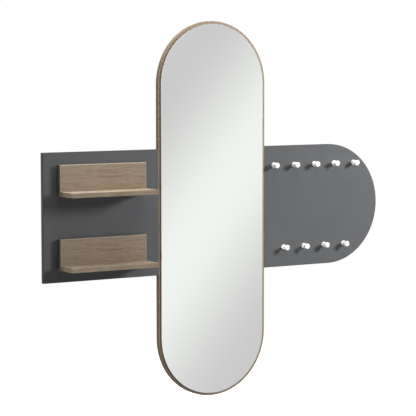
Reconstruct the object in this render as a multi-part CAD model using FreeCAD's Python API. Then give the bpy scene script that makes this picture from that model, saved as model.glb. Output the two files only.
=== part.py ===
import FreeCAD, Part
import math
import os

from FreeCAD import Vector

# Wall-hung hall rack: a pill-shaped mirror board stands between two wings, and all three lie flush.
# X runs along the wall, +Y points into the wall and Z is up. The origin is the middle of the mirror
# board's back face, so the wall is the plane Y = 0 and every piece stands in front of it, at negative Y.
# All sizes are in millimetres.

# Boards, and the bands that cover their edges
BOARD_THICKNESS = 18.0
BAND_THICKNESS = 1.0
BAND_ROUND_SHARE = 0.7
WING_HEIGHT = 500.0
LEFT_WING_WIDTH = 505.0
RIGHT_WING_WIDTH = 570.0
MIRROR_BOARD_WIDTH = 500.0
MIRROR_BOARD_HEIGHT = 1510.0

# Mirror glass, and the foam tapes that hold it on its board
MIRROR_BORDER = 11.0
GLASS_THICKNESS = 4.0
GLASS_ARRIS = 1.0
TAPE_COUNT = 4
TAPE_WIDTH = 20.0
TAPE_THICKNESS = 1.0
TAPE_SIDE_INSET = 50.0

# Shelves: an upright against the left wing, and a shelf board against the foot of the upright
SHELF_LENGTH = 375.0
SHELF_DEPTH = 97.0
UPRIGHT_HEIGHT = 120.0
SHELF_EDGE_INSET = 48.0

# Turned pegs, in two rows on the right wing, the lower row half a pitch along
UPPER_PEG_COUNT = 5
LOWER_PEG_COUNT = 4
PEG_DIAMETER = 22.0
PEG_LENGTH = 31.0
PEG_WAIST_DIAMETER = 13.5
PEG_FLANGE = 3.5
PEG_HEAD = 6.5
PEG_RIM_ROUND = 2.0
PEG_DISH_DIAMETER = 14.0
PEG_DISH_DEPTH = 1.0
PEG_SEAM_INSET = 45.5
PEG_END_INSET = 120.5
PEG_ROW_INSET = 80.0

# Countersunk wood screws, driven from the back of the wings
SCREW_DIAMETER = 4.0
SCREW_HEAD_DIAMETER = 8.0
SCREW_HEAD_HEIGHT = 2.4
SCREW_TIP = 4.0
CROSS_WIDTH = 1.0
CROSS_LENGTH = 4.4
CROSS_DEPTH = 1.4
PEG_SCREW_BITE = 16.0
UPRIGHT_SCREW_COUNT = 3
UPRIGHT_SCREW_BITE = 12.0
UPRIGHT_SCREW_INSET = 70.0
UPRIGHT_SCREW_DROP = 40.0

# Corner screws and dowels that hold each shelf board to its upright
CORNER_SCREW_COUNT = 3
CORNER_SCREW_DIAMETER = 6.0
CORNER_SCREW_HEAD_DIAMETER = 10.0
CORNER_SCREW_HEAD_HEIGHT = 4.0
CORNER_SCREW_BITE = 32.0
CORNER_SCREW_INSET = 40.0
DOWEL_DIAMETER = 8.0
DOWEL_LENGTH = 30.0
DOWEL_CHAMFER = 1.0
SHELF_DOWEL_BITE = 11.0
SHELF_DOWEL_INSET = 110.0

# Cam fittings and dowels that draw each wing against the mirror board
SEAM_DOWEL_INSET = 60.0
CAM_EDGE_INSET = 140.0
CAM_SEAM_INSET = 24.0
CAM_DIAMETER = 15.0
CAM_HEIGHT = 12.5
CAM_CAVITY_DIAMETER = 10.4
CAM_CAVITY_HEIGHT = 7.0
CAM_CROSS_WIDTH = 1.6
CAM_CROSS_LENGTH = 9.0
CAM_CROSS_DEPTH = 2.0
BOLT_THREAD_DIAMETER = 6.0
BOLT_THREAD_LENGTH = 11.0
BOLT_COLLAR_DIAMETER = 7.4
BOLT_COLLAR_LENGTH = 2.0
BOLT_SHANK_DIAMETER = 5.0
BOLT_NECK_DIAMETER = 3.8
BOLT_NECK_LEAD = 1.0
BOLT_HEAD_DIAMETER = 6.4
BOLT_HEAD_LENGTH = 4.0
BOLT_HOLE_DIAMETER = 8.0

# Keyhole hanger plates, let in flush with the back of the boards
HANGER_LENGTH = 64.0
HANGER_HEIGHT = 24.0
HANGER_THICKNESS = 2.0
HANGER_ENTRY_DIAMETER = 10.0
HANGER_SLOT_WIDTH = 5.2
HANGER_SLIDE = 8.5
HANGER_POCKET_WIDTH = 13.0
HANGER_POCKET_DEPTH = 9.0
HANGER_SCREW_INSET = 10.0
HANGER_SCREW_BITE = 11.0
HANGER_EDGE_INSET = 28.0
LEFT_HANGER_INSET = 150.0
MIRROR_HANGER_SPACING = 300.0
MIRROR_HANGER_INSET = 190.0

# Fits: radial clearance round a fastener, room at the bottom of a hole, overrun of a cut
FIT = 0.1
HOLE_ROOM = 1.0
OVERRUN = 1.0
SAME_PLACE = 1e-6

# Places that follow from the sizes
FRONT = -BOARD_THICKNESS
MIDDLE = -BOARD_THICKNESS / 2
SEAM = MIRROR_BOARD_WIDTH / 2
WING_TOP = WING_HEIGHT / 2
LEFT_END = -SEAM - LEFT_WING_WIDTH
ARC_CENTRE = SEAM + RIGHT_WING_WIDTH - WING_TOP
MIRROR_ARC_CENTRE = MIRROR_BOARD_HEIGHT / 2 - SEAM
BAND_ROUND = BAND_THICKNESS * BAND_ROUND_SHARE
SHELF_LEFT = (LEFT_END - SEAM - SHELF_LENGTH) / 2
SHELF_RIGHT = SHELF_LEFT + SHELF_LENGTH
UPRIGHT_FRONT = FRONT - BOARD_THICKNESS
SHELF_FRONT = UPRIGHT_FRONT - SHELF_DEPTH
UPPER_SHELF_FOOT = WING_TOP - SHELF_EDGE_INSET - UPRIGHT_HEIGHT
LOWER_SHELF_FOOT = SHELF_EDGE_INSET - WING_TOP
PEG_ROW_HEIGHT = WING_TOP - PEG_ROW_INSET
FIRST_PEG = SEAM + PEG_SEAM_INSET
PEG_PITCH = (RIGHT_WING_WIDTH - PEG_SEAM_INSET - PEG_END_INSET) / (UPPER_PEG_COUNT - 1)
PEG_SCREW_LENGTH = BOARD_THICKNESS + PEG_SCREW_BITE
UPRIGHT_SCREW_LENGTH = BOARD_THICKNESS + UPRIGHT_SCREW_BITE
CORNER_SCREW_LENGTH = BOARD_THICKNESS + CORNER_SCREW_BITE
HANGER_SCREW_LENGTH = HANGER_THICKNESS + HANGER_SCREW_BITE

LEFT = Vector(-1, 0, 0)
RIGHT = Vector(1, 0, 0)
FORWARD = Vector(0, -1, 0)
UP = Vector(0, 0, 1)


def save(node, *solids):
    """Write one node, which is a single piece or a group of like pieces."""
    shape = solids[0] if len(solids) == 1 else Part.makeCompound(list(solids))
    shape.exportStep("parts/" + node + ".step")


def block(low, high):
    """Box between two opposite corners."""
    size = high - low
    return Part.makeBox(size.x, size.y, size.z, low)


def spread(count, first, last):
    """Evenly spaced places from first to last."""
    step = (last - first) / (count - 1)
    return [first + step * index for index in range(count)]


def slab(curves, depth):
    """Plate with a closed outline of lines and arcs, pushed forward from the outline's plane."""
    wire = Part.Wire([curve.toShape() for curve in curves])
    return Part.Face(wire).extrude(FORWARD * depth)


def pill(radius, start, end, depth):
    """Plate with round ends about the points start and end, pushed forward from their plane."""
    ahead = (end - start).normalize() * radius
    across = ahead.cross(FORWARD)
    curves = [
        Part.LineSegment(start + across, end + across),
        Part.Arc(end + across, end + ahead, end - across),
        Part.LineSegment(end - across, start - across),
        Part.Arc(start - across, start - ahead, start + across),
    ]
    return slab(curves, depth)


def mirror_pill(inset, back, depth):
    """Plate that follows the mirror board's outline, drawn in by inset."""
    low = Vector(0, back, -MIRROR_ARC_CENTRE)
    high = Vector(0, back, MIRROR_ARC_CENTRE)
    return pill(SEAM - inset, low, high, depth)


def right_wing_slab(inset):
    """Plate of the right wing, straight at the seam and a half circle at its free end."""
    reach = WING_TOP - inset
    low_seam = Vector(SEAM, 0, -reach)
    low_arc = Vector(ARC_CENTRE, 0, -reach)
    tip = Vector(ARC_CENTRE + reach, 0, 0)
    high_arc = Vector(ARC_CENTRE, 0, reach)
    high_seam = Vector(SEAM, 0, reach)
    curves = [
        Part.LineSegment(low_seam, low_arc),
        Part.Arc(low_arc, tip, high_arc),
        Part.LineSegment(high_arc, high_seam),
        Part.LineSegment(high_seam, low_seam),
    ]
    return slab(curves, BOARD_THICKNESS)


def outline_arrises(plate, wanted):
    """Front and back edges of a plate whose middle point is wanted."""
    arrises = []
    for edge in plate.Edges:
        along_face = abs(edge.Vertexes[0].Y - edge.Vertexes[-1].Y) < SAME_PLACE
        middle = edge.valueAt((edge.FirstParameter + edge.LastParameter) / 2)
        if along_face and wanted(middle):
            arrises.append(edge)
    return arrises


def band_strip(low, high, outward):
    """Straight edge band with its two long outer arrises rounded."""
    strip = block(low, high)
    size = high - low
    length = max(size.x, size.y, size.z)
    outer = max(corner.Point.dot(outward) for corner in strip.Vertexes)
    arrises = []
    for edge in strip.Edges:
        is_long = abs(edge.Length - length) < SAME_PLACE
        lowest = min(corner.Point.dot(outward) for corner in edge.Vertexes)
        if is_long and abs(lowest - outer) < SAME_PLACE:
            arrises.append(edge)
    return strip.makeFillet(BAND_ROUND, arrises)


def turned(curves, place, axis):
    """Turn a closed outline about an axis. Each curve is two or three points (along axis, radius)."""
    edges = []
    for points in curves:
        corners = [place + axis * along + UP * radius for along, radius in points]
        curve = Part.LineSegment(*corners) if len(corners) == 2 else Part.Arc(*corners)
        edges.append(curve.toShape())
    return Part.Face(Part.Wire(edges)).revolve(place, axis, 360)


def turned_corners(corners, place, axis):
    """Turn an outline of straight runs that starts and ends on the axis."""
    runs = list(zip(corners, corners[1:] + corners[:1]))
    return turned(runs, place, axis)


def cross_recess(head, width, length, depth):
    """Screwdriver cross sunk forward into a head that faces the wall."""
    half_long = length / 2
    half_wide = width / 2
    level = block(
        head + Vector(-half_long, -depth, -half_wide), head + Vector(half_long, OVERRUN, half_wide)
    )
    plumb = block(
        head + Vector(-half_wide, -depth, -half_long), head + Vector(half_wide, OVERRUN, half_long)
    )
    return level.fuse(plumb)


def screw_shape(head, length, room):
    """Countersunk screw pointing forward, or with room, the hole that takes it."""
    shank = SCREW_DIAMETER / 2 + room
    corners = [
        (0, 0),
        (0, SCREW_HEAD_DIAMETER / 2 + room),
        (SCREW_HEAD_HEIGHT, shank),
        (length - SCREW_TIP, shank),
        (length + room, 0),
    ]
    return turned_corners(corners, head, FORWARD)


def screw(head, length):
    """Countersunk wood screw with a cross in its head."""
    recess = cross_recess(head, CROSS_WIDTH, CROSS_LENGTH, CROSS_DEPTH)
    return screw_shape(head, length, 0).cut(recess)


def corner_screw_shape(head, room):
    """Blunt screw with a conical head, or with room, the hole that takes it."""
    shank = CORNER_SCREW_DIAMETER / 2 + room
    corners = [
        (0, 0),
        (0, CORNER_SCREW_HEAD_DIAMETER / 2 + room),
        (CORNER_SCREW_HEAD_HEIGHT, shank),
        (CORNER_SCREW_LENGTH + room, shank),
        (CORNER_SCREW_LENGTH + room, 0),
    ]
    return turned_corners(corners, head, FORWARD)


def dowel(middle, axis):
    """Wooden dowel with chamfered ends."""
    half = DOWEL_LENGTH / 2
    radius = DOWEL_DIAMETER / 2
    corners = [
        (-half, 0),
        (-half, radius - DOWEL_CHAMFER),
        (DOWEL_CHAMFER - half, radius),
        (half - DOWEL_CHAMFER, radius),
        (half, radius - DOWEL_CHAMFER),
        (half, 0),
    ]
    return turned_corners(corners, middle, axis)


def dowel_hole(middle, axis):
    """Hole round a whole dowel, with room beyond both ends."""
    start = middle - axis * (DOWEL_LENGTH / 2 + HOLE_ROOM)
    return Part.makeCylinder(DOWEL_DIAMETER / 2 + FIT, DOWEL_LENGTH + 2 * HOLE_ROOM, start, axis)


def seam_heights(inset):
    """A low and a high place on a seam, inset from the wing's edges."""
    return (inset - WING_TOP, WING_TOP - inset)


def seam_dowel_places():
    """Middles of the dowels across the two seams."""
    heights = seam_heights(SEAM_DOWEL_INSET)
    return [Vector(x, MIDDLE, z) for x in (-SEAM, SEAM) for z in heights]


def cam_seats():
    """Point where each cam bolt leaves the mirror board, with the direction towards its wing."""
    heights = seam_heights(CAM_EDGE_INSET)
    return [(side * SEAM + Vector(0, MIDDLE, z), side) for side in (LEFT, RIGHT) for z in heights]


def cam_centre(seat, side):
    """Middle of a cam, level with its bolt."""
    return seat + side * CAM_SEAM_INSET


def on_back(point):
    """The same place on the back face of the boards."""
    return Vector(point.x, 0, point.z)


def cam_lock(seat, side):
    """Cast cam: hollow for the bolt's head, with an entry for the head, a quarter-turn slot for the
    neck and a cross for the screwdriver."""
    centre = cam_centre(seat, side)
    rim = CAM_DIAMETER / 2 - FIT
    past_rim = CAM_DIAMETER / 2 + OVERRUN
    neck = BOLT_NECK_DIAMETER / 2 + FIT
    cam = Part.makeCylinder(rim, CAM_HEIGHT, on_back(centre), FORWARD)
    cavity_start = centre - FORWARD * (CAM_CAVITY_HEIGHT / 2)
    cavity = Part.makeCylinder(CAM_CAVITY_DIAMETER / 2, CAM_CAVITY_HEIGHT, cavity_start, FORWARD)
    slot_disc = Part.makeCylinder(past_rim, 2 * neck, centre - FORWARD * neck, FORWARD)
    toward_seam = -side.x * past_rim
    quarter = block(
        centre + Vector(min(0, toward_seam), -neck, 0),
        centre + Vector(max(0, toward_seam), neck, past_rim),
    )
    neck_way = Part.makeCylinder(neck, past_rim, centre, -side)
    head_way = Part.makeCylinder(BOLT_HEAD_DIAMETER / 2 + FIT, past_rim, centre, UP)
    cross = cross_recess(on_back(centre), CAM_CROSS_WIDTH, CAM_CROSS_LENGTH, CAM_CROSS_DEPTH)
    return cam.cut([cavity, slot_disc.common(quarter), neck_way, head_way, cross])


def cam_bolt(seat, side):
    """Turned bolt: threaded into the mirror board, collared at the seam, its head inside the cam."""
    head = BOLT_HEAD_DIAMETER / 2
    neck = BOLT_NECK_DIAMETER / 2
    shank = BOLT_SHANK_DIAMETER / 2
    collar = BOLT_COLLAR_DIAMETER / 2
    thread = BOLT_THREAD_DIAMETER / 2
    shoulder_reach = math.sqrt((CAM_CAVITY_DIAMETER / 2) ** 2 - head ** 2) - FIT
    shoulder = CAM_SEAM_INSET - shoulder_reach
    neck_start = CAM_SEAM_INSET - CAM_DIAMETER / 2 - BOLT_NECK_LEAD
    corners = [
        (-BOLT_THREAD_LENGTH, 0),
        (-BOLT_THREAD_LENGTH, thread),
        (0, thread),
        (0, collar),
        (BOLT_COLLAR_LENGTH, collar),
        (BOLT_COLLAR_LENGTH, shank),
        (neck_start, shank),
        (neck_start, neck),
        (shoulder, neck),
        (shoulder, head),
        (shoulder + BOLT_HEAD_LENGTH, head),
        (shoulder + BOLT_HEAD_LENGTH, 0),
    ]
    return turned_corners(corners, seat, side)


def mirror_side_holes():
    """Holes in the long edges of the mirror board: dowels and cam bolts."""
    holes = [dowel_hole(middle, RIGHT) for middle in seam_dowel_places()]
    for seat, side in cam_seats():
        depth = BOLT_THREAD_LENGTH + HOLE_ROOM
        holes.append(Part.makeCylinder(BOLT_THREAD_DIAMETER / 2 + FIT, depth, seat, -side))
    return holes


def wing_seam_holes(wing_side):
    """Holes in one wing along its seam: dowels, bolt ways and cam bores."""
    holes = [dowel_hole(middle, RIGHT) for middle in seam_dowel_places() if middle.x * wing_side.x > 0]
    for seat, side in cam_seats():
        if side.x == wing_side.x:
            centre = cam_centre(seat, side)
            holes.append(Part.makeCylinder(BOLT_HOLE_DIAMETER / 2, CAM_SEAM_INSET, seat, side))
            holes.append(Part.makeCylinder(CAM_DIAMETER / 2, CAM_HEIGHT + FIT, on_back(centre), FORWARD))
    return holes


def hanger_places():
    """Middle of each keyhole plate, on the back of its board."""
    wing_level = WING_TOP - HANGER_EDGE_INSET
    mirror_level = MIRROR_BOARD_HEIGHT / 2 - MIRROR_HANGER_INSET
    return {
        "left_wing_hanger": Vector(LEFT_END + LEFT_HANGER_INSET, 0, wing_level),
        "mirror_left_hanger": Vector(-MIRROR_HANGER_SPACING / 2, 0, mirror_level),
        "mirror_right_hanger": Vector(MIRROR_HANGER_SPACING / 2, 0, mirror_level),
        "right_wing_hanger": Vector(ARC_CENTRE - HANGER_LENGTH / 2, 0, wing_level),
    }


def hanger_screw_places(middle):
    """Heads of the two screws that hold a keyhole plate."""
    reach = RIGHT * (HANGER_LENGTH / 2 - HANGER_SCREW_INSET)
    return (middle - reach, middle + reach)


def hanger_pill(middle, room):
    """Outline of a keyhole plate, or with room, the recess that takes it."""
    radius = HANGER_HEIGHT / 2
    end = RIGHT * (HANGER_LENGTH / 2 - radius)
    return pill(radius + room, middle - end, middle + end, HANGER_THICKNESS)


def keyhole_ends(middle):
    """Centre of the entry hole and centre of the slot's upper end."""
    half = UP * (HANGER_SLIDE / 2)
    return (middle - half, middle + half)


def hanger_screw_holes(middle):
    """Holes for a plate's screws, through the plate and into the board."""
    return [screw_shape(head, HANGER_SCREW_LENGTH, FIT) for head in hanger_screw_places(middle)]


def hanger_plate(middle):
    """Steel plate with a keyhole: the wall screw's head goes in below and the rack slides down on it."""
    entry_centre, slot_end = keyhole_ends(middle)
    entry = Part.makeCylinder(HANGER_ENTRY_DIAMETER / 2, HANGER_THICKNESS, entry_centre, FORWARD)
    slot = pill(HANGER_SLOT_WIDTH / 2, entry_centre, slot_end, HANGER_THICKNESS)
    return hanger_pill(middle, 0).cut([entry, slot] + hanger_screw_holes(middle))


def hanger_holes(middle):
    """Recess for a plate, the pocket behind its keyhole and the pilot holes of its screws."""
    entry_centre, slot_end = keyhole_ends(middle)
    pocket = pill(HANGER_POCKET_WIDTH / 2, entry_centre, slot_end, HANGER_POCKET_DEPTH)
    return [hanger_pill(middle, FIT), pocket] + hanger_screw_holes(middle)


def upright_screw_places(foot):
    """Heads of the screws that hold one upright, in the back of the left wing."""
    level = foot + UPRIGHT_HEIGHT - UPRIGHT_SCREW_DROP
    places = spread(
        UPRIGHT_SCREW_COUNT, SHELF_LEFT + UPRIGHT_SCREW_INSET, SHELF_RIGHT - UPRIGHT_SCREW_INSET
    )
    return [Vector(x, 0, level) for x in places]


def upright_screw_holes(foot):
    """Holes for one upright's screws, through the wing and into the upright."""
    return [screw_shape(head, UPRIGHT_SCREW_LENGTH, FIT) for head in upright_screw_places(foot)]


def corner_screw_places(foot):
    """Heads of the screws from one upright into its shelf board."""
    level = foot + BOARD_THICKNESS / 2
    places = spread(CORNER_SCREW_COUNT, SHELF_LEFT + CORNER_SCREW_INSET, SHELF_RIGHT - CORNER_SCREW_INSET)
    return [Vector(x, FRONT, level) for x in places]


def shelf_dowel_places(foot):
    """Middles of the dowels between one upright and its shelf board."""
    level = foot + BOARD_THICKNESS / 2
    depth = UPRIGHT_FRONT + SHELF_DOWEL_BITE - DOWEL_LENGTH / 2
    places = (SHELF_LEFT + SHELF_DOWEL_INSET, SHELF_RIGHT - SHELF_DOWEL_INSET)
    return [Vector(x, depth, level) for x in places]


def shelf_corner_holes(foot):
    """Holes across the corner between one upright and its shelf board."""
    holes = [corner_screw_shape(head, FIT) for head in corner_screw_places(foot)]
    return holes + [dowel_hole(middle, FORWARD) for middle in shelf_dowel_places(foot)]


def make_upright(row, foot):
    """Upright of one shelf, with the bands on its four edges."""
    top = foot + UPRIGHT_HEIGHT
    inner_left = SHELF_LEFT + BAND_THICKNESS
    inner_right = SHELF_RIGHT - BAND_THICKNESS
    inner_foot = foot + BAND_THICKNESS
    inner_top = top - BAND_THICKNESS
    board = block(Vector(inner_left, UPRIGHT_FRONT, inner_foot), Vector(inner_right, FRONT, inner_top))
    save(row + "_shelf_upright", board.cut(upright_screw_holes(foot) + shelf_corner_holes(foot)))

    def strip(left, right, low, high, outward):
        return band_strip(Vector(left, UPRIGHT_FRONT, low), Vector(right, FRONT, high), outward)

    save(
        row + "_upright_edge_bands",
        strip(SHELF_LEFT, SHELF_RIGHT, inner_top, top, UP),
        strip(SHELF_LEFT, SHELF_RIGHT, foot, inner_foot, -UP),
        strip(SHELF_LEFT, inner_left, inner_foot, inner_top, LEFT),
        strip(inner_right, SHELF_RIGHT, inner_foot, inner_top, RIGHT),
    )


def make_shelf_board(row, foot):
    """Shelf board of one shelf, with the bands on its front and ends."""
    top = foot + BOARD_THICKNESS
    inner_left = SHELF_LEFT + BAND_THICKNESS
    inner_right = SHELF_RIGHT - BAND_THICKNESS
    inner_front = SHELF_FRONT + BAND_THICKNESS
    board = block(Vector(inner_left, inner_front, foot), Vector(inner_right, UPRIGHT_FRONT, top))
    save(row + "_shelf_board", board.cut(shelf_corner_holes(foot)))
    save(
        row + "_shelf_edge_bands",
        band_strip(Vector(SHELF_LEFT, SHELF_FRONT, foot), Vector(SHELF_RIGHT, inner_front, top), FORWARD),
        band_strip(Vector(SHELF_LEFT, inner_front, foot), Vector(inner_left, UPRIGHT_FRONT, top), LEFT),
        band_strip(Vector(inner_right, inner_front, foot), Vector(SHELF_RIGHT, UPRIGHT_FRONT, top), RIGHT),
    )


def peg_places(count, first, level):
    """Screw heads of one row of pegs, on the back of the right wing."""
    return [Vector(first + PEG_PITCH * index, 0, level) for index in range(count)]


def peg(head):
    """Turned peg: flange, waist in one hollow curve, head with a rounded rim and a dished face."""
    radius = PEG_DIAMETER / 2
    waist_start = PEG_FLANGE
    waist_end = PEG_LENGTH - PEG_HEAD
    waist_middle = (waist_start + waist_end) / 2
    rim_start = PEG_LENGTH - PEG_RIM_ROUND
    rim_inner = radius - PEG_RIM_ROUND
    rim_share = math.sqrt(0.5)
    rim_middle = (rim_start + PEG_RIM_ROUND * rim_share, rim_inner + PEG_RIM_ROUND * rim_share)
    dish = PEG_DISH_DIAMETER / 2
    dish_bottom = PEG_LENGTH - PEG_DISH_DEPTH
    dish_radius = (dish ** 2 + PEG_DISH_DEPTH ** 2) / (2 * PEG_DISH_DEPTH)
    half_angle = math.asin(dish / dish_radius) / 2
    dish_rise = dish_radius * (1 - math.cos(half_angle))
    dish_middle = (dish_bottom + dish_rise, dish_radius * math.sin(half_angle))
    curves = [
        [(0, 0), (0, radius)],
        [(0, radius), (waist_start, radius)],
        [(waist_start, radius), (waist_middle, PEG_WAIST_DIAMETER / 2), (waist_end, radius)],
        [(waist_end, radius), (rim_start, radius)],
        [(rim_start, radius), rim_middle, (PEG_LENGTH, rim_inner)],
        [(PEG_LENGTH, rim_inner), (PEG_LENGTH, dish)],
        [(PEG_LENGTH, dish), dish_middle, (dish_bottom, 0)],
        [(dish_bottom, 0), (0, 0)],
    ]
    body = turned(curves, head + FORWARD * BOARD_THICKNESS, FORWARD)
    return body.cut(screw_shape(head, PEG_SCREW_LENGTH, FIT))


def make_mirror(hangers):
    """Mirror board with its band all round, and the glass on its tapes."""
    side_holes = mirror_side_holes()
    board = mirror_pill(BAND_THICKNESS, 0, BOARD_THICKNESS)
    cuts = side_holes + hanger_holes(hangers["mirror_left_hanger"])
    cuts += hanger_holes(hangers["mirror_right_hanger"])
    save("mirror_board", board.cut(cuts))

    outer = mirror_pill(0, 0, BOARD_THICKNESS)
    rounded = outer.makeFillet(BAND_ROUND, outline_arrises(outer, lambda middle: True))
    core = mirror_pill(BAND_THICKNESS, 0, BOARD_THICKNESS)
    save("mirror_board_edge_band", rounded.cut([core] + side_holes))

    glass_back = FRONT - TAPE_THICKNESS
    glass_front = glass_back - GLASS_THICKNESS
    glass = mirror_pill(MIRROR_BORDER, glass_back, GLASS_THICKNESS)
    arrises = outline_arrises(glass, lambda middle: abs(middle.y - glass_front) < SAME_PLACE)
    save("mirror_glass", glass.makeChamfer(GLASS_ARRIS, arrises))

    outer_tape = SEAM - MIRROR_BORDER - TAPE_SIDE_INSET
    half_width = TAPE_WIDTH / 2
    tapes = []
    for x in spread(TAPE_COUNT, -outer_tape, outer_tape):
        low = Vector(x - half_width, glass_back, -MIRROR_ARC_CENTRE)
        high = Vector(x + half_width, FRONT, MIRROR_ARC_CENTRE)
        tapes.append(block(low, high))
    save("mirror_tapes", *tapes)


def make_left_wing(hangers, shelf_feet):
    """Left wing board, with the bands on its top, bottom and outer edges."""
    inner_end = LEFT_END + BAND_THICKNESS
    inner_top = WING_TOP - BAND_THICKNESS
    board = block(Vector(inner_end, FRONT, -inner_top), Vector(-SEAM, 0, inner_top))
    cuts = wing_seam_holes(LEFT) + hanger_holes(hangers["left_wing_hanger"])
    for foot in shelf_feet:
        cuts += upright_screw_holes(foot)
    save("left_wing_board", board.cut(cuts))
    save(
        "left_wing_edge_bands",
        band_strip(Vector(LEFT_END, FRONT, inner_top), Vector(-SEAM, 0, WING_TOP), UP),
        band_strip(Vector(LEFT_END, FRONT, -WING_TOP), Vector(-SEAM, 0, -inner_top), -UP),
        band_strip(Vector(LEFT_END, FRONT, -inner_top), Vector(inner_end, 0, inner_top), LEFT),
    )


def make_right_wing(hangers, peg_heads):
    """Right wing board, with one band round its top, half circle and bottom."""
    cuts = wing_seam_holes(RIGHT) + hanger_holes(hangers["right_wing_hanger"])
    cuts += [screw_shape(head, PEG_SCREW_LENGTH, FIT) for head in peg_heads]
    save("right_wing_board", right_wing_slab(BAND_THICKNESS).cut(cuts))

    outer = right_wing_slab(0)
    arrises = outline_arrises(outer, lambda middle: middle.x > SEAM + SAME_PLACE)
    rounded = outer.makeFillet(BAND_ROUND, arrises)
    save("right_wing_edge_band", rounded.cut(right_wing_slab(BAND_THICKNESS)))


def make_pegs(row, heads):
    """One node for each peg of a row, numbered from the mirror outwards."""
    for number, head in enumerate(heads, 1):
        save(row + "_peg_" + str(number), peg(head))


def main():
    os.makedirs("parts", exist_ok=True)
    hangers = hanger_places()
    shelf_feet = {"upper": UPPER_SHELF_FOOT, "lower": LOWER_SHELF_FOOT}
    upper_pegs = peg_places(UPPER_PEG_COUNT, FIRST_PEG, PEG_ROW_HEIGHT)
    lower_pegs = peg_places(LOWER_PEG_COUNT, FIRST_PEG + PEG_PITCH / 2, -PEG_ROW_HEIGHT)

    make_mirror(hangers)
    make_left_wing(hangers, shelf_feet.values())
    make_right_wing(hangers, upper_pegs + lower_pegs)
    make_pegs("upper", upper_pegs)
    make_pegs("lower", lower_pegs)
    save("peg_screws", *[screw(head, PEG_SCREW_LENGTH) for head in upper_pegs + lower_pegs])

    upright_screws = []
    corner_screws = []
    shelf_dowels = []
    for row, foot in shelf_feet.items():
        make_upright(row, foot)
        make_shelf_board(row, foot)
        upright_screws += [screw(head, UPRIGHT_SCREW_LENGTH) for head in upright_screw_places(foot)]
        corner_screws += [corner_screw_shape(head, 0) for head in corner_screw_places(foot)]
        shelf_dowels += [dowel(middle, FORWARD) for middle in shelf_dowel_places(foot)]
    save("upright_screws", *upright_screws)
    save("corner_screws", *corner_screws)
    save("shelf_dowels", *shelf_dowels)

    save("seam_dowels", *[dowel(middle, RIGHT) for middle in seam_dowel_places()])
    save("cam_locks", *[cam_lock(seat, side) for seat, side in cam_seats()])
    save("cam_bolts", *[cam_bolt(seat, side) for seat, side in cam_seats()])

    hanger_screws = []
    for node, middle in hangers.items():
        save(node, hanger_plate(middle))
        hanger_screws += [screw(head, HANGER_SCREW_LENGTH) for head in hanger_screw_places(middle)]
    save("hanger_screws", *hanger_screws)


main()
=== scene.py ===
import math

import bmesh
import bpy
from mathutils import Matrix, Vector


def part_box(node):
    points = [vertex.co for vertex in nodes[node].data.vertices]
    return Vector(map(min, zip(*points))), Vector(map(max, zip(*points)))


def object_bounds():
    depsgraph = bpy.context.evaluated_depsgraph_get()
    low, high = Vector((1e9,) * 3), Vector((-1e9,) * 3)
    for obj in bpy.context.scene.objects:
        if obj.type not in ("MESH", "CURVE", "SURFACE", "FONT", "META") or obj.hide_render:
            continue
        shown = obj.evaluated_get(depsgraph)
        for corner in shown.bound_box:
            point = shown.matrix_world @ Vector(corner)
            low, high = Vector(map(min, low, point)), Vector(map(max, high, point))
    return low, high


# Hall coat rack with mirror: looks, studio and camera. Metres, X along the wall, +Y into the wall, Z up.

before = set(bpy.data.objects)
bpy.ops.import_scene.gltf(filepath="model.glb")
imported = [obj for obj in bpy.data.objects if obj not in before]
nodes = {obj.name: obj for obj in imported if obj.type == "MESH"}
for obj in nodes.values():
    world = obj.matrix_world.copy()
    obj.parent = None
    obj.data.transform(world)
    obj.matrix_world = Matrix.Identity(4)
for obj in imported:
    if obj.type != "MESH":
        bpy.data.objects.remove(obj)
cad_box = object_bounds()

# Outline of the mirror board, which its edge band's grain follows
MIRROR_LOW, MIRROR_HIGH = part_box("mirror_board_edge_band")
MIRROR_RADIUS = (MIRROR_HIGH.x - MIRROR_LOW.x) / 2
MIRROR_ARC_CENTRE = MIRROR_HIGH.z - MIRROR_RADIUS

# Finishes, linear colours
OAK_PALE = (0.340, 0.285, 0.215, 1)
OAK_DARK = (0.168, 0.111, 0.069, 1)
# Pale oak of the arris line: scuffed oak, and a painted highlight
OAK_WORN_HIGHLIGHT = (0.470, 0.405, 0.320, 1)
# Lower shelf board, paler than the upper: painted light on its top, which the upper shelf shades
LOW_SHELF_LIT_PALE = (0.385, 0.322, 0.242, 1)
LOW_SHELF_LIT_DARK = (0.190, 0.126, 0.078, 1)
OAK_BAND_PALE = (0.342, 0.280, 0.208, 1)
OAK_BAND_DARK = (0.168, 0.110, 0.068, 1)
# Edge band of the mirror board, darker than the other oak bands: painted shade on its sides
RING_BAND_SHADED_PALE = (0.188, 0.145, 0.100, 1)
RING_BAND_SHADED_DARK = (0.144, 0.102, 0.066, 1)
BORDER_PALE = (0.315, 0.254, 0.185, 1)
BORDER_DARK = (0.244, 0.190, 0.130, 1)
ANTHRACITE = (0.098, 0.100, 0.104, 1)
ANTHRACITE_FLECK = (0.124, 0.126, 0.130, 1)
ANTHRACITE_BAND = (0.046, 0.047, 0.049, 1)
ANTHRACITE_BAND_FLECK = (0.056, 0.057, 0.060, 1)
CHIP_PALE = (0.520, 0.380, 0.230, 1)
CHIP_DARK = (0.220, 0.140, 0.075, 1)
SILVER = (0.960, 0.962, 0.960, 1)
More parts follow.
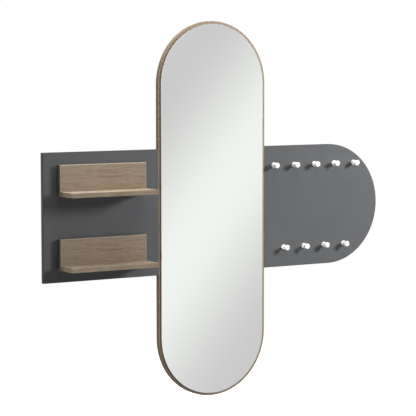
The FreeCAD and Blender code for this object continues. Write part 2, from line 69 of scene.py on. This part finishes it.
# Ground edge of the glass: brown as a painted reflection of the oak border, and dark as painted shade
GLASS_EDGE_REFLECTED_OAK = (0.150, 0.112, 0.076, 1)
BACKING_PAINT = (0.160, 0.175, 0.165, 1)
PEG_WHITE = (0.920, 0.920, 0.910, 1)
PEG_SHADE = (0.860, 0.860, 0.850, 1)
ZINC_PALE = (0.640, 0.640, 0.630, 1)
ZINC_DARK = (0.440, 0.445, 0.450, 1)
BEECH_PALE = (0.620, 0.430, 0.260, 1)
BEECH_DARK = (0.440, 0.280, 0.150, 1)
FOAM_PALE = (0.780, 0.780, 0.760, 1)
FOAM_DARK = (0.560, 0.560, 0.545, 1)
FLOOR_PALE = (0.900, 0.900, 0.900, 1)
WHITE = (1, 1, 1, 1)

# Shelf rows: shift of the oak print, and the colours of the shelf board, which the lower row paints paler
# as painted light
SHELF_ROWS = (
    ("upper", (0.33, 0.036, -0.150), OAK_PALE, OAK_DARK),
    ("lower", (0.33, 0.036, 0.134), LOW_SHELF_LIT_PALE, LOW_SHELF_LIT_DARK),
)

# Oak print: how far the streaks sway, and the length of one swing of tone along the grain
OAK_SWAY = 0.030
TONE_LENGTH = 0.82

# Oak print: how much each pattern darkens it
LONG_STREAK_SHARE = 0.34
SHORT_STREAK_SHARE = 0.22
MOTTLE_SHARE = 0.10
TONE_SHARE = 0.16
PORE_SHARE = 0.30

# Oak print: the one red streak along its heart, and how many of its lengths it lies off the middle
HEART_WIDTH = 0.0065
HEART_LENGTH = 0.075
HEART_LAG = 1.9
HEART_SHARE = 0.55
HEART_TINT = (1.25, 1.0, 0.85, 1)

# Oak print: sheen, and the relief of streaks and pores
OAK_ROUGHNESS = 0.40
STREAK_ROUGHNESS = 0.10
STREAK_HEIGHT = 0.35
PORE_HEIGHT = -0.65

# Width of the pale line along an oak arris: partly scuffs, partly a painted highlight where the arris
# catches the light
WEAR_HIGHLIGHT_WIDTH = 0.0035

# Plain melamine: how much flecks and clouding colour it, its sheen, and the fineness of its pebbling
FLECK_SHARE = 0.55
CLOUD_SHARE = 0.18
MELAMINE_ROUGHNESS = 0.43
CLOUD_ROUGHNESS = 0.05
FACE_PEBBLES = 1300.0
BAND_PEBBLES = 1800.0

# Boards: sheen of the cut core, and the depth to which a point still counts as on the face
CORE_ROUGHNESS = 0.9
FACE_DEPTH = 0.0004

# Specular level of boards and bands
BOARD_GLOSS = 0.15
RING_BAND_GLOSS = 0.04

# Mirror glass: its ground edge and its painted back
GLASS_EDGE_ROUGHNESS = 0.40
GLASS_BACK_ROUGHNESS = 0.60

# How squarely a surface has to face along an axis
FACING_FRONT = 0.5
FACING_SIDE = 0.8

# Depth of the fine relief
BOARD_RELIEF = 0.00006
OAK_BAND_RELIEF = 0.00002
MELAMINE_BAND_RELIEF = 0.00003
PEG_RELIEF = 0.00002
FOAM_RELIEF = 0.0001
DOWEL_RELIEF = 0.0001

# Floor: a disc below the rack, solid in the middle and gone further out
FLOOR_DROP = 0.40
FLOOR_RADIUS = 9.0
FLOOR_SEGMENTS = 96
FLOOR_SOLID = 1.8
FLOOR_GONE = 5.0
FLOOR_GLOW = 0.7

# Surroundings: a weak fill, and a diagonal wave of tone that only reflections show
FILL_STRENGTH = 0.004
WAVE_ACROSS = 47.2
WAVE_UP = -30.3
WAVE_START = 27.24
WAVE_SHADE = (0.620, 0.618, 0.618, 1)
WAVE_LIGHT = (0.907, 0.936, 0.905, 1)

# Round soft lights: place, aim, width, watts and spread in degrees
RACK_MIDDLE = (0.0, 0.0, 0.0)
OPEN_SPREAD = 180.0
LIGHTS = {
    "key": ((2.6, -1.8, 1.05), RACK_MIDDLE, 0.8, 150.0, OPEN_SPREAD),
    "high_soft_light": ((-0.2, 0.1, 2.6), RACK_MIDDLE, 2.4, 125.0, OPEN_SPREAD),
    "near_soft_light": ((0.0, -0.1, 1.8), RACK_MIDDLE, 1.8, 22.0, OPEN_SPREAD),
    "left_back_light": ((-3.0, 0.8, 0.4), RACK_MIDDLE, 2.5, 42.0, OPEN_SPREAD),
    "low_back_light": ((-1.6, 0.7, -1.9), RACK_MIDDLE, 2.0, 14.0, OPEN_SPREAD),
    "low_front_light": ((0.0, -3.0, -1.2), RACK_MIDDLE, 3.0, 27.0, OPEN_SPREAD),
    "peg_side_light": ((-0.28, -0.13, -0.45), (0.75, -0.02, 0.12), 0.12, 0.22, 44.0),
    "wall_side_light": ((0.5, 3.0, 1.2), RACK_MIDDLE, 2.5, 60.0, OPEN_SPREAD),
}

# Camera: place, turns in degrees, and lens and sensor in millimetres
CAMERA_PLACE = (-3.6838, -5.9884, 0.5945)
CAMERA_YAW = 31.535
CAMERA_PITCH = 4.785
CAMERA_ROLL = -0.0404
CAMERA_LENS = 151.415
CAMERA_SENSOR = 36.0


def feed(tree, socket, value):
    """Link an output to a socket, or set the socket's own value."""
    if isinstance(value, bpy.types.NodeSocket):
        tree.links.new(value, socket)
    else:
        socket.default_value = value


def add(tree, kind, inputs=(), **settings):
    """Add a shader node. An input is a plain value or another node's output."""
    made = tree.nodes.new("ShaderNode" + kind)
    for name, value in settings.items():
        setattr(made, name, value)
    for name, value in dict(inputs).items():
        feed(tree, made.inputs[name], value)
    return made


def calc(tree, operation, *values):
    """One step of arithmetic on numbers."""
    made = add(tree, "Math", operation=operation)
    for socket, value in zip(made.inputs, values):
        feed(tree, socket, value)
    return made.outputs[0]


def wave(tree, angle):
    """Cosine of an angle, brought between nought and one."""
    return calc(tree, "MULTIPLY_ADD", calc(tree, "COSINE", angle), 0.5, 0.5)


def tint(tree, share, first, second, blend_type="MIX"):
    """Mix two colours."""
    made = add(tree, "Mix", data_type="RGBA", blend_type=blend_type)
    for index, value in ((0, share), (6, first), (7, second)):
        feed(tree, made.inputs[index], value)
    return made.outputs[2]


def between(tree, value, low, high, to_low=0.0, to_high=1.0):
    """Smooth step of a value from one range to another."""
    made = add(
        tree,
        "MapRange",
        {"Value": value, "From Min": low, "From Max": high, "To Min": to_low, "To Max": to_high},
        interpolation_type="SMOOTHSTEP",
    )
    return made.outputs["Result"]


def noise(tree, place, scale, detail=2.0, rough=0.5):
    """Noise value at a place."""
    made = add(
        tree, "TexNoise", {"Vector": place, "Scale": scale, "Detail": detail, "Roughness": rough}
    )
    return made.outputs["Fac"]


def axes(tree, vector):
    """A vector's X, Y and Z."""
    return add(tree, "SeparateXYZ", {"Vector": vector}).outputs


def new_group(name, inputs, outputs):
    """Empty node group with named inputs and outputs. Returns its tree and its two end nodes."""
    tree = bpy.data.node_groups.new(name, "ShaderNodeTree")
    for socket, kind in inputs.items():
        tree.interface.new_socket(socket, in_out="INPUT", socket_type="NodeSocket" + kind)
    for socket, kind in outputs.items():
        tree.interface.new_socket(socket, in_out="OUTPUT", socket_type="NodeSocket" + kind)
    return tree, tree.nodes.new("NodeGroupInput").outputs, tree.nodes.new("NodeGroupOutput").inputs


def use_group(tree, group, **inputs):
    """Place a node group in a material."""
    made = tree.nodes.new("ShaderNodeGroup")
    made.node_tree = group
    for name, value in inputs.items():
        feed(tree, made.inputs[name], value)
    return made.outputs


def oak_print_group():
    """Printed oak with its grain along X: swaying streaks, pores, slow tone and a red heart streak."""
    tree, given, result = new_group(
        "oak_print",
        {"Place": "Vector", "Pale": "Color", "Dark": "Color"},
        {"Color": "Color", "Roughness": "Float", "Height": "Float"},
    )
    parts = axes(tree, given["Place"])
    along = parts["X"]
    level = calc(tree, "ADD", parts["Y"], parts["Z"])

    def drawn_out(squeeze, sideways):
        """Place squeezed along the grain, which draws out a pattern on it."""
        lengthwise = calc(tree, "MULTIPLY", along, squeeze)
        return add(tree, "CombineXYZ", {"X": lengthwise, "Y": sideways}).outputs[0]

    waver = noise(tree, drawn_out(0.30, level), scale=13.0, detail=2.0, rough=0.5)
    across = calc(tree, "MULTIPLY_ADD", calc(tree, "SUBTRACT", waver, 0.5), OAK_SWAY, level)

    def streaks(squeeze, scale, detail, rough, low, high):
        """Mask of streaks that sway along the grain."""
        return between(tree, noise(tree, drawn_out(squeeze, across), scale, detail, rough), low, high)

    long_streaks = streaks(squeeze=0.07, scale=125.0, detail=3.0, rough=0.6, low=0.32, high=0.70)
    short_streaks = streaks(squeeze=0.17, scale=210.0, detail=2.0, rough=0.6, low=0.42, high=0.72)
    pores = streaks(squeeze=0.04, scale=1100.0, detail=1.0, rough=0.5, low=0.60, high=0.74)
    mottle = streaks(squeeze=0.25, scale=24.0, detail=2.0, rough=0.5, low=0.30, high=0.75)
    tone = wave(tree, calc(tree, "MULTIPLY", along, 2 * math.pi / TONE_LENGTH))

    darkness = calc(tree, "MULTIPLY", long_streaks, LONG_STREAK_SHARE)
    darkness = calc(tree, "MULTIPLY_ADD", short_streaks, SHORT_STREAK_SHARE, darkness)
    darkness = calc(tree, "MULTIPLY_ADD", mottle, MOTTLE_SHARE, darkness)
    darkness = calc(tree, "MULTIPLY_ADD", tone, TONE_SHARE, darkness)
    colour = tint(tree, darkness, given["Pale"], given["Dark"])

    from_heart = calc(tree, "ABSOLUTE", calc(tree, "MULTIPLY", across, 1 / HEART_WIDTH))
    beside_heart = calc(tree, "ABSOLUTE", calc(tree, "MULTIPLY_ADD", along, 1 / HEART_LENGTH, HEART_LAG))
    reach = calc(tree, "ADD", calc(tree, "POWER", from_heart, 2.0), calc(tree, "POWER", beside_heart, 2.0))
    heart = calc(tree, "MULTIPLY", between(tree, reach, low=1.0, high=0.1), HEART_SHARE)
    heart_colour = tint(tree, 1.0, given["Dark"], HEART_TINT, "MULTIPLY")
    colour = tint(tree, heart, colour, heart_colour)
    colour = tint(tree, calc(tree, "MULTIPLY", pores, PORE_SHARE), colour, given["Dark"])
    roughness = calc(tree, "MULTIPLY_ADD", long_streaks, STREAK_ROUGHNESS, OAK_ROUGHNESS)
    pore_height = calc(tree, "MULTIPLY", pores, PORE_HEIGHT)
    height = calc(tree, "MULTIPLY_ADD", long_streaks, STREAK_HEIGHT, pore_height)
    feed(tree, result["Color"], colour)
    feed(tree, result["Roughness"], roughness)
    feed(tree, result["Height"], height)
    return tree


def soft_grain_group():
    """Fine pebbled skin of a plain melamine board, with faint flecks and slow clouding."""
    tree, given, result = new_group(
        "soft_grain",
        {"Place": "Vector", "Plain": "Color", "Fleck": "Color", "Grain": "Float"},
        {"Color": "Color", "Roughness": "Float", "Height": "Float"},
    )
    place = given["Place"]
    pebble = noise(tree, place, given["Grain"], detail=2.0, rough=0.55)
    fleck = between(tree, noise(tree, place, scale=2600.0, detail=1.0, rough=0.4), low=0.55, high=0.75)
    cloud = between(tree, noise(tree, place, scale=7.0, detail=3.0, rough=0.5), low=0.25, high=0.75)
    share = calc(tree, "MULTIPLY_ADD", fleck, FLECK_SHARE, calc(tree, "MULTIPLY", cloud, CLOUD_SHARE))
    roughness = calc(tree, "MULTIPLY_ADD", cloud, CLOUD_ROUGHNESS, MELAMINE_ROUGHNESS)
    feed(tree, result["Color"], tint(tree, share, given["Plain"], given["Fleck"]))
    feed(tree, result["Roughness"], roughness)
    feed(tree, result["Height"], pebble)
    return tree


def chipboard_group():
    """Cut face of the board's core: pressed chips and dust."""
    tree, given, result = new_group(
        "chipboard", {"Place": "Vector"}, {"Color": "Color", "Height": "Float"}
    )
    chips = add(tree, "TexVoronoi", {"Vector": given["Place"], "Scale": 420.0, "Randomness": 1.0})
    tone = add(tree, "SeparateColor", {"Color": chips.outputs["Color"]}).outputs["Red"]
    dust = noise(tree, given["Place"], scale=1500.0, detail=2.0, rough=0.6)
    share = calc(tree, "MULTIPLY_ADD", dust, 0.5, calc(tree, "MULTIPLY", tone, 0.5))
    feed(tree, result["Color"], tint(tree, share, CHIP_PALE, CHIP_DARK))
    feed(tree, result["Height"], calc(tree, "ADD", tone, dust))
    return tree


def clouding_group():
    """Slow uneven patches, for sheen that isn't the same all over."""
    tree, given, result = new_group(
        "clouding",
        {"Place": "Vector", "Scale": "Float", "Low": "Float", "High": "Float"},
        {"Value": "Float", "Share": "Float"},
    )
    patches = noise(tree, given["Place"], given["Scale"], detail=3.0, rough=0.55)
    share = between(tree, patches, low=0.28, high=0.72)
    spread = calc(tree, "SUBTRACT", given["High"], given["Low"])
    feed(tree, result["Share"], share)
    feed(tree, result["Value"], calc(tree, "MULTIPLY_ADD", share, spread, given["Low"]))
    return tree


def arris_wear_highlight_group():
    """Uneven pale line along the arrises of a box, given its middle and half its size: partly scuffs,
    partly a painted highlight.
    """
    tree, given, result = new_group(
        "arris_wear_highlight", {"Place": "Vector", "Middle": "Vector", "Reach": "Vector"}, {"Share": "Float"}
    )
    offset = add(tree, "VectorMath", {0: given["Place"], 1: given["Middle"]}, operation="SUBTRACT")
    away = add(tree, "VectorMath", {0: offset.outputs[0]}, operation="ABSOLUTE")
    inside = add(tree, "VectorMath", {0: given["Reach"], 1: away.outputs[0]}, operation="SUBTRACT")
    depth = axes(tree, inside.outputs[0])
    nearer = calc(tree, "MINIMUM", depth["X"], depth["Y"])
    farther = calc(tree, "MAXIMUM", depth["X"], depth["Y"])
    to_arris = calc(tree, "MAXIMUM", nearer, calc(tree, "MINIMUM", farther, depth["Z"]))
    near_arris = between(tree, to_arris, WEAR_HIGHLIGHT_WIDTH, 0.0)
    patchiness = noise(tree, given["Place"], scale=60.0, detail=2.0, rough=0.5)
    patchy = between(tree, patchiness, low=0.2, high=0.6, to_low=0.6)
    feed(tree, result["Share"], calc(tree, "MULTIPLY", near_arris, patchy))
    return tree


OAK_PRINT = oak_print_group()
ARRIS_WEAR_HIGHLIGHT = arris_wear_highlight_group()
SOFT_GRAIN = soft_grain_group()
CHIPBOARD = chipboard_group()
CLOUDING = clouding_group()


def new_material(name):
    """Node material: its tree, its shader and its coordinates."""
    material = bpy.data.materials.new(name)
    material.use_nodes = True
    tree = material.node_tree
    return material, tree, tree.nodes["Principled BSDF"], add(tree, "TexCoord").outputs


def set_plain(shader, values):
    """Set what is the same all over a surface."""
    for name, value in values.items():
        shader.inputs[name].default_value = value


def bump(tree, shader, height, depth):
    """Let a height pattern of a given depth shade the surface."""
    made = add(tree, "Bump", {"Height": height, "Distance": depth, "Strength": 1.0})
    tree.links.new(made.outputs["Normal"], shader.inputs["Normal"])


def turned_place(tree, place, grain_axis):
    """Place with its X along the grain."""
    parts = axes(tree, place)
    order = {"X": ("X", "Y", "Z"), "Y": ("Y", "X", "Z"), "Z": ("Z", "X", "Y")}[grain_axis]
    made = add(tree, "CombineXYZ", {to: parts[source] for to, source in zip("XYZ", order)})
    return made.outputs[0]


def on_outer_faces(tree, place, axis, node):
    """One on the two broad faces of a board and nought on cut edges and in holes."""
    low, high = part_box(node)
    index = "XYZ".index(axis)
    middle = (low[index] + high[index]) / 2
    reach = (high[index] - low[index]) / 2
    away = calc(tree, "ABSOLUTE", calc(tree, "SUBTRACT", axes(tree, place)[axis], middle))
    return calc(tree, "GREATER_THAN", away, reach - FACE_DEPTH)


def worn_highlight_colour(tree, place, colour, names):
    """Oak colour, paler along the arrises of the box that the named nodes fill together: scuffs and a
    painted highlight.
    """
    boxes = [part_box(name) for name in names]
    low = Vector([min(box[0][i] for box in boxes) for i in range(3)])
    high = Vector([max(box[1][i] for box in boxes) for i in range(3)])
    arris_share = use_group(tree, ARRIS_WEAR_HIGHLIGHT, Place=place, Middle=(low + high) / 2, Reach=(high - low) / 2)
    return tint(tree, arris_share["Share"], colour, OAK_WORN_HIGHLIGHT)


def board_material(name, node, face_axis, skin, wear_highlight_with=None):
    """Board with a printed or plain skin on its faces and chipboard where it is cut."""
    material, tree, shader, coords = new_material(name)
    place = coords["Object"]
    face = skin(tree, place)
    core = use_group(tree, CHIPBOARD, Place=place)
    faced = on_outer_faces(tree, place, face_axis, node)
    colour = face["Color"]
    # Paler arrises where asked: scuffs, and a painted highlight where they catch the light
    if wear_highlight_with:
        colour = worn_highlight_colour(tree, place, colour, (node, wear_highlight_with))
    smoother = calc(tree, "SUBTRACT", face["Roughness"], CORE_ROUGHNESS)
    roughness = calc(tree, "MULTIPLY_ADD", smoother, faced, CORE_ROUGHNESS)
    feed(tree, shader.inputs["Base Color"], tint(tree, faced, core["Color"], colour))
    feed(tree, shader.inputs["Roughness"], roughness)
    bump(tree, shader, face["Height"], BOARD_RELIEF)
    set_plain(shader, {"Specular IOR Level": BOARD_GLOSS})
    return material


def oak_skin(grain_axis, pale=OAK_PALE, dark=OAK_DARK, shift=(0, 0, 0)):
    """Oak print with its grain along one axis, shifted so that boards differ."""

    def skin(tree, place):
        """Print at a place on the board."""
        moved = add(tree, "Mapping", {"Vector": place, "Location": shift}).outputs[0]
        turned = turned_place(tree, moved, grain_axis)
        return use_group(tree, OAK_PRINT, Place=turned, Pale=pale, Dark=dark)

    return skin


def anthracite_skin(tree, place):
    """Plain dark melamine of the wings."""
    return use_group(
        tree, SOFT_GRAIN, Place=place, Plain=ANTHRACITE, Fleck=ANTHRACITE_FLECK, Grain=FACE_PEBBLES
    )


def straight_band_material(name, side_axis, shift, wear_highlight_with=None):
    """Oak edge bands of a straight board. The grain runs along each strip, so it turns at the sides."""
    material, tree, shader, coords = new_material(name)
    moved = add(tree, "Mapping", {"Vector": coords["Object"], "Location": shift}).outputs[0]
    long_grain = turned_place(tree, moved, "X")
    side_grain = turned_place(tree, moved, side_axis)
    facing = axes(tree, coords["Normal"])["X"]
    on_side = calc(tree, "GREATER_THAN", calc(tree, "ABSOLUTE", facing), FACING_SIDE)
    place = add(tree, "Mix", data_type="VECTOR")
    for index, value in ((0, on_side), (4, long_grain), (5, side_grain)):
        feed(tree, place.inputs[index], value)
    oak = use_group(tree, OAK_PRINT, Place=place.outputs[1], Pale=OAK_BAND_PALE, Dark=OAK_BAND_DARK)
    colour = oak["Color"]
    # Paler arrises where asked: scuffs, and a painted highlight where they catch the light
    if wear_highlight_with:
        colour = worn_highlight_colour(tree, coords["Object"], colour, (name, wear_highlight_with))
    feed(tree, shader.inputs["Base Color"], colour)
    feed(tree, shader.inputs["Roughness"], oak["Roughness"])
    bump(tree, shader, oak["Height"], OAK_BAND_RELIEF)
    set_plain(shader, {"Specular IOR Level": BOARD_GLOSS})
    return material


def round_band_material(name):
    """Oak edge band of the mirror board: the grain runs along the band, round both ends, and its oak is
    painted darker as painted shade.
    """
    material, tree, shader, coords = new_material(name)
    parts = axes(tree, coords["Object"])
    not_below = calc(tree, "MAXIMUM", parts["Z"], -MIRROR_ARC_CENTRE)
    straight = calc(tree, "MINIMUM", not_below, MIRROR_ARC_CENTRE)
    rise = calc(tree, "SUBTRACT", parts["Z"], straight)
    angle = calc(tree, "ARCTAN2", rise, calc(tree, "ABSOLUTE", parts["X"]))
    along = calc(tree, "MULTIPLY_ADD", angle, MIRROR_RADIUS, straight)
    side = calc(tree, "SIGN", parts["X"])
    place = add(tree, "CombineXYZ", {"X": along, "Y": parts["Y"], "Z": side}).outputs[0]
    # Darker oak than the other bands: painted shade
    oak = use_group(tree, OAK_PRINT, Place=place, Pale=RING_BAND_SHADED_PALE, Dark=RING_BAND_SHADED_DARK)
    feed(tree, shader.inputs["Base Color"], oak["Color"])
    feed(tree, shader.inputs["Roughness"], oak["Roughness"])
    set_plain(shader, {"Specular IOR Level": RING_BAND_GLOSS})
    return material


def anthracite_band_material():
    """Edge bands of the wings, a little darker than their faces."""
    material, tree, shader, coords = new_material("anthracite_band")
    skin = use_group(
        tree,
        SOFT_GRAIN,
        Place=coords["Object"],
        Plain=ANTHRACITE_BAND,
        Fleck=ANTHRACITE_BAND_FLECK,
        Grain=BAND_PEBBLES,
    )
    feed(tree, shader.inputs["Base Color"], skin["Color"])
    feed(tree, shader.inputs["Roughness"], skin["Roughness"])
    bump(tree, shader, skin["Height"], MELAMINE_BAND_RELIEF)
    set_plain(shader, {"Specular IOR Level": BOARD_GLOSS})
    return material


def mirror_material():
    """Silvered front, ground edge and painted back of the mirror glass; the edge's brown is a painted
    reflection of the oak border, darkened as painted shade.
    """
    material, tree, shader, coords = new_material("mirror_glass")
    facing = axes(tree, coords["Normal"])["Y"]
    front = calc(tree, "LESS_THAN", facing, -FACING_FRONT)
    back = calc(tree, "GREATER_THAN", facing, FACING_FRONT)
    film = use_group(tree, CLOUDING, Place=coords["Object"], Scale=9.0, Low=0.004, High=0.012)
    # Edge painted brown as a reflection of the oak border and dark as shade; back painted grey-green
    unsilvered = tint(tree, back, GLASS_EDGE_REFLECTED_OAK, BACKING_PAINT)
    back_step = GLASS_BACK_ROUGHNESS - GLASS_EDGE_ROUGHNESS
    rough = calc(tree, "MULTIPLY_ADD", back, back_step, GLASS_EDGE_ROUGHNESS)
    rough = calc(tree, "MULTIPLY_ADD", calc(tree, "SUBTRACT", film["Value"], rough), front, rough)
    feed(tree, shader.inputs["Base Color"], tint(tree, front, unsilvered, SILVER))
    feed(tree, shader.inputs["Metallic"], front)
    feed(tree, shader.inputs["Roughness"], rough)
    set_plain(shader, {"IOR": 1.52})
    return material


def peg_material():
    """White lacquer on a turned peg, with faint clouding."""
    material, tree, shader, coords = new_material("peg_lacquer")
    cloud = use_group(tree, CLOUDING, Place=coords["Object"], Scale=60.0, Low=0.20, High=0.30)
    feed(tree, shader.inputs["Base Color"], tint(tree, cloud["Share"], PEG_WHITE, PEG_SHADE))
    feed(tree, shader.inputs["Roughness"], cloud["Value"])
    bump(tree, shader, noise(tree, coords["Object"], scale=900.0, detail=2.0, rough=0.5), PEG_RELIEF)
    set_plain(
        shader,
        {
            "Subsurface Weight": 0.5,
            "Subsurface Radius": (1.0, 1.0, 1.0),
            "Subsurface Scale": 0.012,
            "Coat Weight": 0.35,
            "Coat Roughness": 0.08,
            "IOR": 1.50,
        },
    )
    return material


def zinc_material():
    """Zinc plating with a faint crystalline spangle."""
    material, tree, shader, coords = new_material("zinc_plating")
    spangle = add(tree, "TexVoronoi", {"Vector": coords["Object"], "Scale": 700.0})
    tone = add(tree, "SeparateColor", {"Color": spangle.outputs["Color"]}).outputs["Green"]
    cloud = use_group(tree, CLOUDING, Place=coords["Object"], Scale=120.0, Low=0.28, High=0.42)
    feed(tree, shader.inputs["Base Color"], tint(tree, tone, ZINC_PALE, ZINC_DARK))
    feed(tree, shader.inputs["Roughness"], cloud["Value"])
    set_plain(shader, {"Metallic": 1.0})
    return material


def foam_material():
    """White closed-cell foam tape."""
    material, tree, shader, coords = new_material("foam_tape")
    cells = add(tree, "TexVoronoi", {"Vector": coords["Object"], "Scale": 1800.0}).outputs["Distance"]
    share = between(tree, cells, low=0.1, high=0.7)
    feed(tree, shader.inputs["Base Color"], tint(tree, share, FOAM_PALE, FOAM_DARK))
    bump(tree, shader, cells, FOAM_RELIEF)
    set_plain(shader, {"Roughness": 0.85})
    return material


def dowel_material(name, grain_axis):
    """Plain beech dowel."""
    material, tree, shader, coords = new_material(name)
    place = turned_place(tree, coords["Object"], grain_axis)
    beech = use_group(tree, OAK_PRINT, Place=place, Pale=BEECH_PALE, Dark=BEECH_DARK)
    feed(tree, shader.inputs["Base Color"], beech["Color"])
    bump(tree, shader, beech["Height"], DOWEL_RELIEF)
    set_plain(shader, {"Roughness": 0.7})
    return material


def dress(material, *names):
    """Give CAD nodes a material."""
    for name in names:
        data = nodes[name].data
        data.materials.clear()
        data.materials.append(material)


def dress_shelves():
    """Oak on both shelves, with scuffs and a painted highlight along the arrises of their uprights; the
    lower shelf board is painted paler as painted light.
    """
    for row, shift, pale, dark in SHELF_ROWS:
        upright = row + "_shelf_upright"
        board = row + "_shelf_board"
        upright_bands = row + "_upright_edge_bands"
        board_bands = row + "_shelf_edge_bands"
        upright_skin = oak_skin("X", shift=shift)
        board_skin = oak_skin("X", pale, dark, shift)
        dress(board_material(row + "_upright_oak", upright, "Y", upright_skin, upright_bands), upright)
        dress(board_material(row + "_shelf_oak", board, "Z", board_skin), board)
        dress(straight_band_material(upright_bands, "Z", shift, upright), upright_bands)
        dress(straight_band_material(board_bands, "Y", shift), board_bands)


def dress_all():
    """Give every CAD node its finish."""
    border_skin = oak_skin("Z", BORDER_PALE, BORDER_DARK)
    dress(board_material("mirror_board_oak", "mirror_board", "Y", border_skin), "mirror_board")
    dress_shelves()
    for wing in ("left_wing", "right_wing"):
        board = wing + "_board"
        dress(board_material(wing + "_anthracite", board, "Y", anthracite_skin), board)
    dress(anthracite_band_material(), "left_wing_edge_bands", "right_wing_edge_band")
    dress(round_band_material("mirror_oak_band"), "mirror_board_edge_band")
    dress(mirror_material(), "mirror_glass")
    dress(foam_material(), "mirror_tapes")
    dress(peg_material(), *[name for name in nodes if "_peg_" in name])
    dress(
        zinc_material(),
        "peg_screws",
        "upright_screws",
        "corner_screws",
        "hanger_screws",
        "cam_locks",
        "cam_bolts",
        *[name for name in nodes if name.endswith("_hanger")],
    )
    dress(dowel_material("shelf_dowel_beech", "Y"), "shelf_dowels")
    dress(dowel_material("seam_dowel_beech", "X"), "seam_dowels")


def make_floor():
    """Plain pale floor that fades out into the white surroundings."""
    mesh = bpy.data.meshes.new("floor")
    shape = bmesh.new()
    bmesh.ops.create_circle(shape, cap_ends=True, segments=FLOOR_SEGMENTS, radius=FLOOR_RADIUS)
    bmesh.ops.translate(shape, verts=shape.verts, vec=Vector((0, 0, cad_box[0][2] - FLOOR_DROP)))
    shape.to_mesh(mesh)
    shape.free()
    floor = bpy.data.objects.new("floor", mesh)
    bpy.context.scene.collection.objects.link(floor)
    material, tree, shader, coords = new_material("pale_floor")
    away = add(tree, "VectorMath", {0: coords["Object"]}, operation="LENGTH").outputs["Value"]
    seen = add(tree, "LightPath").outputs["Is Camera Ray"]
    feed(tree, shader.inputs["Alpha"], between(tree, away, FLOOR_SOLID, FLOOR_GONE, 1.0, 0.0))
    feed(tree, shader.inputs["Emission Strength"], calc(tree, "MULTIPLY", seen, FLOOR_GLOW))
    set_plain(shader, {"Base Color": FLOOR_PALE, "Roughness": 0.8, "Emission Color": WHITE})
    mesh.materials.append(material)
    floor.visible_glossy = False
    floor.visible_diffuse = False
    floor.visible_shadow = False


def make_world():
    """White surroundings. Soft fill on the object, and a slow diagonal gradient in what reflects."""
    world = bpy.data.worlds.new("studio")
    bpy.context.scene.world = world
    world.use_nodes = True
    tree = world.node_tree
    tree.nodes.clear()

    def glow(colour, strength):
        """Light of a colour from all sides."""
        return add(tree, "Background", {"Color": colour, "Strength": strength}).outputs[0]

    def choose(switch, off, on):
        """One of two shaders, by the kind of ray."""
        return add(tree, "MixShader", {0: switch, 1: off, 2: on}).outputs[0]

    path = add(tree, "LightPath").outputs
    parts = axes(tree, add(tree, "TexCoord").outputs["Generated"])
    slant = calc(tree, "MULTIPLY_ADD", parts["X"], WAVE_ACROSS, calc(tree, "MULTIPLY", parts["Z"], WAVE_UP))
    share = wave(tree, calc(tree, "SUBTRACT", slant, WAVE_START))
    reflected = glow(tint(tree, share, WAVE_SHADE, WAVE_LIGHT), 1.0)
    unseen = choose(path["Is Glossy Ray"], glow(WHITE, FILL_STRENGTH), reflected)
    whole = choose(path["Is Camera Ray"], unseen, glow(WHITE, 1.0))
    add(tree, "OutputWorld", {"Surface": whole})


def add_light(name, place, aim, size, power, spread):
    """Round soft light."""
    data = bpy.data.lights.new(name, "AREA")
    data.shape = "DISK"
    data.size = size
    data.energy = power
    data.spread = math.radians(spread)
    lamp = bpy.data.objects.new(name, data)
    lamp.location = place
    lamp.rotation_euler = (Vector(aim) - Vector(place)).to_track_quat("-Z", "Y").to_euler()
    lamp.visible_camera = False
    lamp.visible_glossy = False
    bpy.context.scene.collection.objects.link(lamp)


def make_camera():
    """Camera where the photograph was taken from: to the left, a little above, turned right and down."""
    yaw = math.radians(CAMERA_YAW)
    pitch = math.radians(CAMERA_PITCH)
    roll = math.radians(CAMERA_ROLL)
    ahead = Vector((math.sin(yaw) * math.cos(pitch), math.cos(yaw) * math.cos(pitch), -math.sin(pitch)))
    level = Vector((math.cos(yaw), -math.sin(yaw), 0))
    upright = level.cross(ahead)
    right = level * math.cos(roll) + upright * math.sin(roll)
    up = upright * math.cos(roll) - level * math.sin(roll)
    turn = Matrix((right, up, -ahead)).transposed().to_4x4()
    data = bpy.data.cameras.new("camera")
    data.sensor_width = CAMERA_SENSOR
    data.lens = CAMERA_LENS
    camera = bpy.data.objects.new("camera", data)
    camera.matrix_world = Matrix.Translation(CAMERA_PLACE) @ turn
    bpy.context.scene.collection.objects.link(camera)
    bpy.context.scene.camera = camera


dress_all()
make_floor()
make_world()
for light, settings in LIGHTS.items():
    add_light(light, *settings)
make_camera()
bpy.context.scene.view_settings.view_transform = "Standard"
